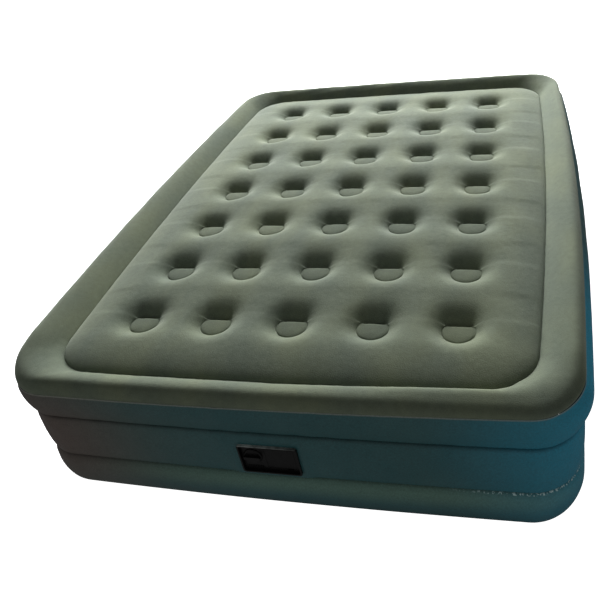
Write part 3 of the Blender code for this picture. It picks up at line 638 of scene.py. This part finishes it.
# ---------------------------------------------------------------- shader building

def new_material(name):
    """A material, its node tree and its shader."""
    material = bpy.data.materials.new(name)
    material.use_nodes = True
    tree = material.node_tree
    return material, tree, tree.nodes["Principled BSDF"]


def add_node(tree, kind, settings=None, **inputs):
    """A shader node. Inputs are named with _ for a space, and hold a value or the socket to link."""
    made = tree.nodes.new("ShaderNode" + kind)
    for key, value in (settings or {}).items():
        setattr(made, key, value)
    for key, value in inputs.items():
        socket = made.inputs[int(key[1:]) if key[1:].isdigit() else key.replace("_", " ")]
        if isinstance(value, bpy.types.NodeSocket):
            tree.links.new(value, socket)
        else:
            socket.default_value = value
    return made


def place(tree):
    """Position on the object, in metres."""
    return add_node(tree, "TexCoord").outputs["Object"]


def noise(tree, scale, detail=3.0, stretch=(1, 1, 1)):
    """Noise between about 0.3 and 0.7 in object space; scale is in cells a metre."""
    spread = add_node(tree, "Mapping", Vector=place(tree), Scale=stretch).outputs["Vector"]
    return add_node(tree, "TexNoise", Vector=spread, Scale=scale, Detail=detail).outputs["Fac"]


def remap(tree, value, low, high, to_low, to_high, smooth=False):
    """Carry a value from one range to another, held at both ends."""
    settings = {"interpolation_type": "SMOOTHSTEP"} if smooth else {}
    return add_node(tree, "MapRange", settings, Value=value, From_Min=low, From_Max=high, To_Min=to_low,
                    To_Max=to_high).outputs["Result"]


def calc(tree, operation, first, second=0):
    """One sum on two values."""
    return add_node(tree, "Math", {"operation": operation}, _0=first, _1=second).outputs["Value"]


def distance_from(tree, value, middle):
    """How far a value is from a middle value, on either side."""
    return calc(tree, "ABSOLUTE", calc(tree, "SUBTRACT", value, middle))


def mix(tree, share, first, second, blend="MIX"):
    """Mix two colours."""
    made = add_node(tree, "Mix", {"data_type": "RGBA", "blend_type": blend}, _0=share, _6=first, _7=second)
    return made.outputs[2]


def near_point(tree, centre, reach):
    """1 at a point of the object, falling softly to 0 at a distance."""
    away = add_node(tree, "VectorMath", {"operation": "DISTANCE"}, _0=place(tree), _1=centre).outputs["Value"]
    return remap(tree, away, 0, reach, 1, 0, smooth=True)


def paint(tree, shader, colour, tone):
    """Put a colour on the shader, made darker or lighter by a tone."""
    grey = add_node(tree, "CombineColor", Red=tone, Green=tone, Blue=tone).outputs["Color"]
    tree.links.new(mix(tree, 1.0, colour, grey, "MULTIPLY"), shader.inputs["Base Color"])


def bump(tree, shader, height, distance, strength):
    """Fine relief on the shader; distance is its depth in metres."""
    raised = add_node(tree, "Bump", Height=height, Distance=distance, Strength=strength)
    tree.links.new(raised.outputs["Normal"], shader.inputs["Normal"])


# ---------------------------------------------------------------- materials

# Flock: two shades of its green, and the heights between which painted shade darkens it down into the pockets
FLOCK_GREEN = (0.144, 0.176, 0.130, 1)
FLOCK_OLIVE = (0.156, 0.182, 0.118, 1)
FLOCK_SHEEN = (0.80, 0.88, 0.76, 1)
POCKET_PAINTED_SHADE_Z = (0.364, 0.390)
POCKET_PAINTED_SHADE = 0.30

# Vinyl: two shades of its teal, a painted highlight on its lower roll, painted shade at its foot, and painted
# coloured light at its two front corners
TEAL_DARK = (0.022, 0.105, 0.112, 1)
TEAL_LIGHT = (0.034, 0.120, 0.124, 1)
ROLL_PAINTED_LIGHT = (0.105, 0.215, 0.170, 1)
ROLL_LIGHT_Z = (0.070, 0.125)
FOOT_PAINTED_SHADE = (0.008, 0.042, 0.050, 1)
FOOT_SHADE_HEIGHT = 0.085
PAINTED_CORNER_LIGHT = [((-0.66, -1.0, 0.25), 0.62, (0.068, 0.100, 0.080, 1)),
                ((-0.66, -1.0, 0.22), 0.40, (0.112, 0.080, 0.066, 1)),
                ((0.84, -0.78, 0.33), 0.56, (0.003, 0.410, 0.640, 1))]

# Vinyl: pale flecks along the low seam at the right corner, painted highlights on its puckers and partly paler
# weld, a pale top edge, and painted shade at the seams
FLECK_HIGHLIGHT = (0.72, 1.0, 1.0, 1)
FLECK_PLACE = (0.72, -0.92, LOW_SEAM_Z)
FLECK_REACH = 0.34
FLECK_DROP = 0.0035
EDGE_COLOUR = (0.34, 0.36, 0.30, 1)
EDGE_DROP = (0.0045, 0.0020)
SEAM_PAINTED_SHADE = 0.62
SEAMS_WITH_PAINTED_SHADE = [(MID_SEAM_Z, 0.011), (LOW_SEAM_Z + 0.002, 0.008)]

# Collar: a painted highlight along its upper edge, where its top face catches the light, between these depths
# under the edge
COLLAR_PAINTED_HIGHLIGHT = (0.42, 0.46, 0.44, 1)
COLLAR_HIGHLIGHT_DEPTH = (0.0030, 0.0008)

# Finishes of the pieces that keep their CAD shape, by material slot
BLACK_PLASTIC = dict(dark=(0.0035, 0.0035, 0.0035), light=(0.007, 0.007, 0.007), roughness=0.40, scale=1400,
                     relief=0.0002, specular=0.22)
FINISHES = {
    "black_plastic": BLACK_PLASTIC,
    "grey_plastic": dict(dark=(0.26, 0.26, 0.27), light=(0.31, 0.31, 0.32), roughness=0.42, scale=1200,
                         relief=0.0001),
    "black_rubber": dict(dark=(0.016, 0.016, 0.016), light=(0.028, 0.027, 0.026), roughness=0.78, scale=900,
                         relief=0.0002),
    "plated_steel": dict(dark=(0.50, 0.50, 0.52), light=(0.60, 0.60, 0.60), roughness=0.28, scale=700,
                         relief=0.00005, metallic=1.0, stretch=(1, 8, 1)),
    "tie_vinyl": dict(dark=(0.26, 0.28, 0.27), light=(0.34, 0.36, 0.35), roughness=0.45, scale=500,
                      relief=0.0003),
    "base_vinyl": dict(dark=(0.020, 0.034, 0.036), light=(0.030, 0.048, 0.050), roughness=0.55, scale=300,
                       relief=0.0008),
}


def flock():
    """Short velvet pile: mottled at two scales, brushed in places, paler at a grazing view, and darkened by
    painted shade low down in the pockets and the groove.
    """
    material, tree, shader = new_material("flock")
    pile = noise(tree, 420, 2)
    mottle = noise(tree, 60, 4)
    brushed = noise(tree, 7, 3, (1.0, 0.45, 1.0))
    height = add_node(tree, "SeparateXYZ", Vector=place(tree)).outputs["Z"]
    tone = calc(tree, "ADD", remap(tree, pile, 0.25, 0.75, -0.13, 0.13),
                remap(tree, mottle, 0.3, 0.7, -0.07, 0.07))
    tone = calc(tree, "ADD", tone, remap(tree, brushed, 0.3, 0.7, 0.90, 1.12))
    # Painted shade: darker low down, in the dimples' pockets and the groove
    tone = calc(tree, "MULTIPLY", tone, remap(tree, height, *POCKET_PAINTED_SHADE_Z, POCKET_PAINTED_SHADE, 1.0))
    green = mix(tree, remap(tree, brushed, 0.35, 0.65, 0, 1), FLOCK_GREEN, FLOCK_OLIVE)
    paint(tree, shader, green, tone)
    shader.inputs["Roughness"].default_value = 0.95
    shader.inputs["Specular IOR Level"].default_value = 0.15
    shader.inputs["Sheen Weight"].default_value = 0.40
    shader.inputs["Sheen Roughness"].default_value = 0.40
    shader.inputs["Sheen Tint"].default_value = FLOCK_SHEEN
    bump(tree, shader, calc(tree, "ADD", pile, mottle), 0.0010, 0.5)
    return material


def vinyl():
    """Teal PVC with a fine leather grain, and painted coloured light: redder at the left front corner and
    bluer at the right one.
    """
    material, tree, shader = new_material("teal_vinyl")
    across, along, height = add_node(tree, "SeparateXYZ", Vector=place(tree)).outputs
    colour = mix(tree, remap(tree, noise(tree, 5, 3), 0.35, 0.65, 0, 1), TEAL_DARK, TEAL_LIGHT)

    # Painted highlight: the top of the lower band's roll is paler, where light falls, most of all in front;
    # painted shade makes its foot darker
    roll = calc(tree, "MULTIPLY", calc(tree, "LESS_THAN", height, LOW_SEAM_Z),
                remap(tree, height, *ROLL_LIGHT_Z, 0, 1, smooth=True))
    roll = calc(tree, "MULTIPLY", roll, remap(tree, along, -0.97, -0.75, 1, 0.2))
    colour = mix(tree, roll, colour, ROLL_PAINTED_LIGHT)
    colour = mix(tree, remap(tree, height, 0.0, FOOT_SHADE_HEIGHT, 1, 0, smooth=True), colour, FOOT_PAINTED_SHADE)
    # Painted coloured light: a reddish cast at the left front corner and a blue one at the right
    for centre, reach, tint in PAINTED_CORNER_LIGHT:
        colour = mix(tree, near_point(tree, centre, reach), colour, tint)

    # Pale flecks along the welded low seam: painted highlights where its puckers catch the light, and partly
    # paler weld
    along_low_seam = remap(tree, distance_from(tree, height, LOW_SEAM_Z - FLECK_DROP), 0.0010, 0.0026, 1, 0)
    flecks = remap(tree, noise(tree, 170, 2), 0.52, 0.57, 0, 1)
    close = remap(tree, near_point(tree, FLECK_PLACE, FLECK_REACH), 0, 0.4, 0, 1)
    flecks = calc(tree, "MULTIPLY", flecks, close)
    colour = mix(tree, calc(tree, "MULTIPLY", along_low_seam, flecks), colour, FLECK_HIGHLIGHT)

    # The pale edge follows the top seam as it rises to the right
    across = remap(tree, across, TILT_LEFT_X, TILT_RIGHT_X, TILT_LEFT_X, TILT_RIGHT_X)
    slope = calc(tree, "ADD", calc(tree, "MULTIPLY", across, SEAM_CURVE), SEAM_TILT)
    level = calc(tree, "SUBTRACT", height, calc(tree, "MULTIPLY", across, slope))
    seam = TOP_SEAM_Z - SEAM_LOWER
    edge = remap(tree, level, seam - EDGE_DROP[0], seam - EDGE_DROP[1], 0, 0.6)
    colour = mix(tree, edge, colour, EDGE_COLOUR)

    # Mottled all over, and darker with painted shade along the two middle seams, where the bands' bulges shade
    # them
    tone = remap(tree, noise(tree, 260, 2), 0.25, 0.75, 0.80, 1.20)
    for seam, reach in SEAMS_WITH_PAINTED_SHADE:
        shade = remap(tree, distance_from(tree, height, seam), 0.001, reach, SEAM_PAINTED_SHADE, 1.0, smooth=True)
        tone = calc(tree, "MULTIPLY", tone, shade)
    paint(tree, shader, colour, tone)
    tree.links.new(remap(tree, noise(tree, 30, 3), 0.3, 0.7, 0.42, 0.56), shader.inputs["Roughness"])
    grain = add_node(tree, "TexVoronoi", Vector=place(tree), Scale=330).outputs["Distance"]
    bump(tree, shader, grain, 0.0007, 0.35)
    return material


def solid_finish(name, dark, light, roughness, scale, relief, specular=0.5, metallic=0.0, stretch=(1, 1, 1)):
    """A moulded, rubber or metal finish: colour and roughness vary a little, over a fine relief."""
    material, tree, shader = new_material(name)
    broad = noise(tree, scale / 12, 3, stretch)
    fine = noise(tree, scale, 3, stretch)
    colour = mix(tree, remap(tree, broad, 0.3, 0.7, 0, 1), (*dark, 1), (*light, 1))
    tree.links.new(colour, shader.inputs["Base Color"])
    rough = remap(tree, fine, 0.3, 0.7, roughness - 0.06, roughness + 0.08)
    tree.links.new(rough, shader.inputs["Roughness"])
    shader.inputs["Metallic"].default_value = metallic
    shader.inputs["Specular IOR Level"].default_value = specular
    bump(tree, shader, fine, relief, 0.6)
    return material


def collar_finish():
    """Black moulded plastic, with a painted highlight along its upper edge."""
    material = solid_finish("collar_plastic", **BLACK_PLASTIC)
    tree = material.node_tree
    shader = tree.nodes["Principled BSDF"]
    across, _, height = add_node(tree, "SeparateXYZ", Vector=place(tree)).outputs
    # Painted highlight along the upper edge, fading to the right
    painted_highlight = remap(tree, height, PUMP_HIGH.z - COLLAR_HIGHLIGHT_DEPTH[0], PUMP_HIGH.z - COLLAR_HIGHLIGHT_DEPTH[1], 0, 1)
    painted_highlight = calc(tree, "MULTIPLY", painted_highlight, remap(tree, across, PUMP_LOW.x + 0.02, PUMP_HIGH.x, 1, 0.25))
    painted_highlight = calc(tree, "MULTIPLY", painted_highlight, remap(tree, noise(tree, 60, 2), 0.35, 0.6, 0.5, 1))
    black = shader.inputs["Base Color"].links[0].from_socket
    tree.links.new(mix(tree, painted_highlight, black, COLLAR_PAINTED_HIGHLIGHT), shader.inputs["Base Color"])
    return material


def dress_nodes(finishes):
    """Give each CAD node that stays visible its finish, and soften the pump's moulded edges."""
    for part in frame["record"]["subparts"]:
        finish = finishes.get(part["material_slot"])
        obj = frame["nodes"][part["node"]]
        if finish is None or obj.hide_render:
            continue
        if part["node"] == "pump_collar":
            finish = collar_finish()
        for slot in obj.material_slots:
            slot.material = finish
        if part["node"] in BEVELS:
            bevel = obj.modifiers.new("soft edges", "BEVEL")
            bevel.width = BEVELS[part["node"]]
            bevel.segments = 3
            bevel.limit_method = "ANGLE"
            bevel.angle_limit = radians(35)


# ---------------------------------------------------------------- stage

STAGE_SIZE = 30.0
STAGE_DROP = 0.0005
STAGE_PAINT = (0.86, 0.86, 0.86, 1)
STAGE_GLOW = 1.1
ROOM = 0.02
ROOM_SIDES = [((0, -1, 0), 0.20), ((1, 0, 0), 0.16), ((-1, 0, 0), 0.12)]
WINDOW_AIM = (0, -0.1, 0.4)
WINDOWS = [("window_far", (-2.2, 5.9, 2.7), (4.0, 3.4), 850),
           ("window_near", (0.5, 2.9, 1.4), (2.2, 1.0), 70)]


def stage_piece(name, vertices, faces, blocks_light):
    """A pale sheet that only the camera sees."""
    mesh = bpy.data.meshes.new(name)
    mesh.from_pydata(vertices, [], faces)
    obj = bpy.data.objects.new(name, mesh)
    bpy.context.scene.collection.objects.link(obj)
    obj.visible_diffuse = False
    obj.visible_glossy = False
    obj.visible_shadow = blocks_light
    material, _, shader = new_material(name + "_paint")
    shader.inputs["Base Color"].default_value = STAGE_PAINT
    shader.inputs["Roughness"].default_value = 0.9
    shader.inputs["Emission Color"].default_value = (1, 1, 1, 1)
    shader.inputs["Emission Strength"].default_value = STAGE_GLOW
    mesh.materials.append(material)


def make_stage():
    """A plain pale floor, and walls of the same paint far away."""
    size, low = STAGE_SIZE, FLOOR_Z - STAGE_DROP
    corners = [(-size, -size), (size, -size), (size, size), (-size, size)]
    points = [(x, y, low) for x, y in corners] + [(x, y, size) for x, y in corners]
    walls = [(k, (k + 1) % 4, (k + 1) % 4 + 4, k + 4) for k in range(4)]
    stage_piece("studio_floor", points[:4], [(0, 1, 2, 3)], True)
    stage_piece("studio_walls", points, walls, False)


def area_light(name, position, aim, size, power):
    """A rectangular white light that faces a point."""
    data = bpy.data.lights.new(name, "AREA")
    data.shape = "RECTANGLE"
    data.size, data.size_y = size
    data.energy = power
    light = bpy.data.objects.new(name, data)
    light.location = position
    light.rotation_euler = (Vector(aim) - Vector(position)).to_track_quat("-Z", "Y").to_euler()
    bpy.context.scene.collection.objects.link(light)


def make_lights():
    """A dim room, a little brighter in front and to both sides, and two large windows high behind."""
    world = bpy.data.worlds.new("studio")
    world.use_nodes = True
    tree = world.node_tree
    background = tree.nodes["Background"]
    background.inputs["Color"].default_value = (1, 1, 1, 1)
    strength = ROOM
    for direction, amount in ROOM_SIDES:
        facing = add_node(tree, "TexCoord").outputs["Generated"]
        side = add_node(tree, "VectorMath", {"operation": "DOT_PRODUCT"}, _0=facing, _1=direction)
        strength = calc(tree, "ADD", strength, remap(tree, side.outputs["Value"], 0, 1, 0, amount))
    tree.links.new(strength, background.inputs["Strength"])
    bpy.context.scene.world = world
    for name, position, size, power in WINDOWS:
        area_light(name, position, WINDOW_AIM, size, power)
    bpy.context.scene.view_settings.view_transform = "Standard"


def make_camera():
    """A camera at standing height, in front of the bed and right of its middle."""
    data = bpy.data.cameras.new("camera")
    data.sensor_width = 36
    data.lens = 40.06
    data.shift_x = -0.0878
    data.shift_y = -0.0661
    camera = bpy.data.objects.new("camera", data)
    camera.location = (0.5950, -1.9782, 1.4513)
    camera.rotation_euler = Euler((radians(56.768), radians(8.217), radians(12.373)))
    bpy.context.scene.collection.objects.link(camera)
    bpy.context.scene.camera = camera


# ---------------------------------------------------------------- assembly

finishes = {name: solid_finish(name, **numbers) for name, numbers in FINISHES.items()}
flock_material = flock()
vinyl_material = vinyl()
tie_material = finishes["tie_vinyl"]
make_flocked_top(flock_material)
upper = make_band("upper_band_vinyl", UPPER_BAND, UPPER_RIPPLES, vinyl_material)
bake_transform(upper)
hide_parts("upper_side_band")
lower = make_band("lower_band_vinyl", LOWER_BAND, LOWER_RIPPLES, vinyl_material, "base")
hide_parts("lower_side_band")
middle = make_band("middle_band_vinyl", MIDDLE_BAND, MIDDLE_RIPPLES, vinyl_material, "base", pump_swell)
cut_pump_hole(middle)
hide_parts("middle_side_band")

carry_over("perimeter_strap", "perimeter_strap_vinyl", tie_material)
for row in range(ROWS):
    for column in range(COLUMNS):
        carry_over(f"coil_tie_r{row + 1}_c{column + 1}", f"tie_strap_r{row + 1}_c{column + 1}", tie_material)

make_bottom(finishes["base_vinyl"])
dress_nodes(finishes)
make_stage()
make_lights()
make_camera()
